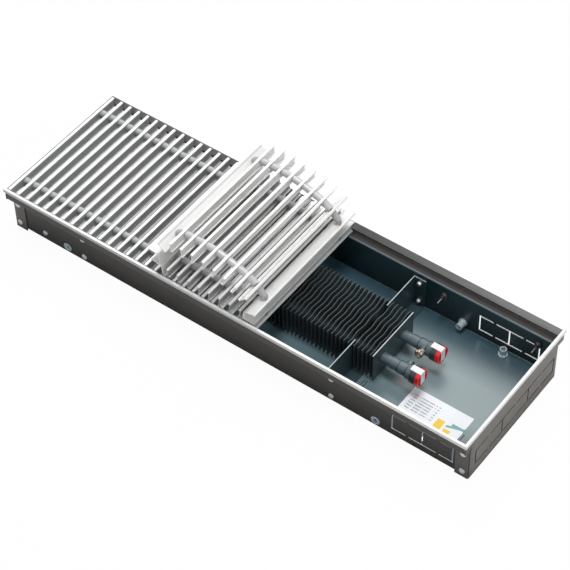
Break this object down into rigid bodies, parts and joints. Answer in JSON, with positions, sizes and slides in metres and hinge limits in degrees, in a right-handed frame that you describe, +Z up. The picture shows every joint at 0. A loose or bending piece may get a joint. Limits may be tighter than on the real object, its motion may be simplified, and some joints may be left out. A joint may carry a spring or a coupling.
{
  "type": "trench convector heater",
  "caption": "Shallow floor-recessed trench convector: sheet casing with a light trim frame, finned water exchanger with capped ends, and a linked slat grille part folded back in an arch.",
  "frame": {"origin": "on the underside, below the middle of the trim frame", "axes": "+X along the trench towards the pipe connections, +Y towards the back wall, +Z up"},
  "size_m": [0.8, 0.248, 0.1606],
  "materials": {
    "casing_paint": "semi-gloss graphite powder coat",
    "trim_white": "light satin anodised",
    "foam": "matt foam strip",
    "rivet_metal": "bright satin",
    "zinc": "blue zinc plated",
    "black_plastic": "matt",
    "fin_black": "dark semi-gloss coat",
    "tube_paint": "dark blue-grey semi-gloss coat",
    "nickel": "nickel plated",
    "cap_red": "glossy red",
    "seal_paper": "white paper strip",
    "card_paper": "printed card",
    "grille_aluminium": "light satin anodised",
    "spacer_grey": "satin grey",
    "rod_metal": "plain metal",
    "rod_end_grey": "satin grey"
  },
  "bodies": {
    "casing": {"trench_floor": "casing_paint", "wall_front": "casing_paint", "wall_back": "casing_paint", "edge_rails": "casing_paint", "end_wall_pipe": "casing_paint", "end_wall_plain": "casing_paint", "trim_sides": "trim_white", "trim_ends": "trim_white", "ledge_strips": "foam", "blind_rivets": "rivet_metal", "threaded_inserts": "zinc", "earth_screw": "zinc", "cable_clips": "black_plastic", "clip_pins": "rivet_metal", "bracket_pipe": "casing_paint", "bracket_plain": "casing_paint", "fins_pipe": "fin_black", "fins_main": "fin_black", "fins_plain": "fin_black", "fin_plate_pipe": "fin_black", "fin_plate_plain": "fin_black", "water_tube": "tube_paint", "fitting_front": "tube_paint", "fitting_back": "tube_paint", "vent_body": "nickel", "blind_plug": "tube_paint", "info_card": "card_paper"},
    "vent_knob": {"vent_knob": "nickel"},
    "spacer_screw": {"spacer_screw": "zinc"},
    "cap_front": {"cap_front": "cap_red", "seal_front": "seal_paper"},
    "cap_back": {"cap_back": "cap_red", "seal_back": "seal_paper"},
    "grille_low": {"low_slats": "grille_aluminium", "low_spacers": "spacer_grey", "low_rods": "rod_metal"},
    "grille_mid": {"mid_slats": "grille_aluminium", "mid_spacers": "spacer_grey", "mid_rods": "rod_metal", "mid_rod_ends": "rod_end_grey", "mid_profile_pipe": "grille_aluminium", "mid_profile_plain": "grille_aluminium", "mid_profile_stacked": "grille_aluminium"},
    "arch_1": {"arch_slat_1": "grille_aluminium", "arch_link_1": "spacer_grey", "arch_rod_ends_plain": "rod_end_grey"},
    "arch_2": {"arch_slat_2": "grille_aluminium", "arch_link_2": "spacer_grey"},
    "arch_3": {"arch_slat_3": "grille_aluminium", "arch_link_3": "spacer_grey"},
    "arch_4": {"arch_slat_4": "grille_aluminium", "arch_link_4": "spacer_grey"},
    "arch_5": {"arch_slat_5": "grille_aluminium", "arch_link_5": "spacer_grey"},
    "arch_6": {"arch_slat_6": "grille_aluminium", "arch_link_6": "spacer_grey"},
    "arch_7": {"arch_slat_7": "grille_aluminium", "arch_link_7": "spacer_grey"},
    "arch_8": {"arch_slat_8": "grille_aluminium", "arch_rod_ends_pipe": "rod_end_grey"}
  },
  "joints": [
    {"name": "vent_turn", "type": "hinge", "parent": "casing", "child": "vent_knob", "pos_m": [0.2406, 0.025, 0.0329], "axis": [0, -0.9781, 0.2079], "range_deg": [0, 360]},
    {"name": "spacer_screw_out", "type": "slide", "parent": "casing", "child": "spacer_screw", "axis": [0, -1, 0], "range_m": [0, 0.012]},
    {"name": "cap_front_pull", "type": "slide", "parent": "casing", "child": "cap_front", "axis": [1, 0, 0], "range_m": [0, 0.03]},
    {"name": "cap_back_pull", "type": "slide", "parent": "casing", "child": "cap_back", "axis": [1, 0, 0], "range_m": [0, 0.03]},
    {"name": "grille_low_lift", "type": "slide", "parent": "casing", "child": "grille_low", "axis": [0, 0, 1], "range_m": [0, 0.06]},
    {"name": "grille_mid_lift", "type": "slide", "parent": "grille_low", "child": "grille_mid", "axis": [0, 0, 1], "range_m": [0, 0.05]},
    {"name": "arch_lift", "type": "slide", "parent": "grille_mid", "child": "arch_1", "axis": [0, 0, 1], "range_m": [0, 0.05]},
    {"name": "arch_fold_1", "type": "hinge", "parent": "arch_1", "child": "arch_2", "pos_m": [-0.07151, 0, 0.15233], "axis": [0, 1, 0], "range_deg": [-6, 0]},
    {"name": "arch_fold_2", "type": "hinge", "parent": "arch_2", "child": "arch_3", "pos_m": [-0.05331, 0, 0.15265], "axis": [0, 1, 0], "range_deg": [-6, 0]},
    {"name": "arch_fold_3", "type": "hinge", "parent": "arch_3", "child": "arch_4", "pos_m": [-0.03521, 0, 0.15075], "axis": [0, 1, 0], "range_deg": [-7.5, 0]},
    {"name": "arch_fold_4", "type": "hinge", "parent": "arch_4", "child": "arch_5", "pos_m": [-0.01755, 0, 0.14635], "axis": [0, 1, 0], "range_deg": [-6, 0]},
    {"name": "arch_fold_5", "type": "hinge", "parent": "arch_5", "child": "arch_6", "pos_m": [-0.00006, 0, 0.14133], "axis": [0, 1, 0], "range_deg": [-6, 0]},
    {"name": "arch_fold_6", "type": "hinge", "parent": "arch_6", "child": "arch_7", "pos_m": [0.01725, 0, 0.13571], "axis": [0, 1, 0], "range_deg": [-9, 0]},
    {"name": "arch_fold_7", "type": "hinge", "parent": "arch_7", "child": "arch_8", "pos_m": [0.03234, 0, 0.12553], "axis": [0, 1, 0], "range_deg": [-24, 0]}
  ]
}
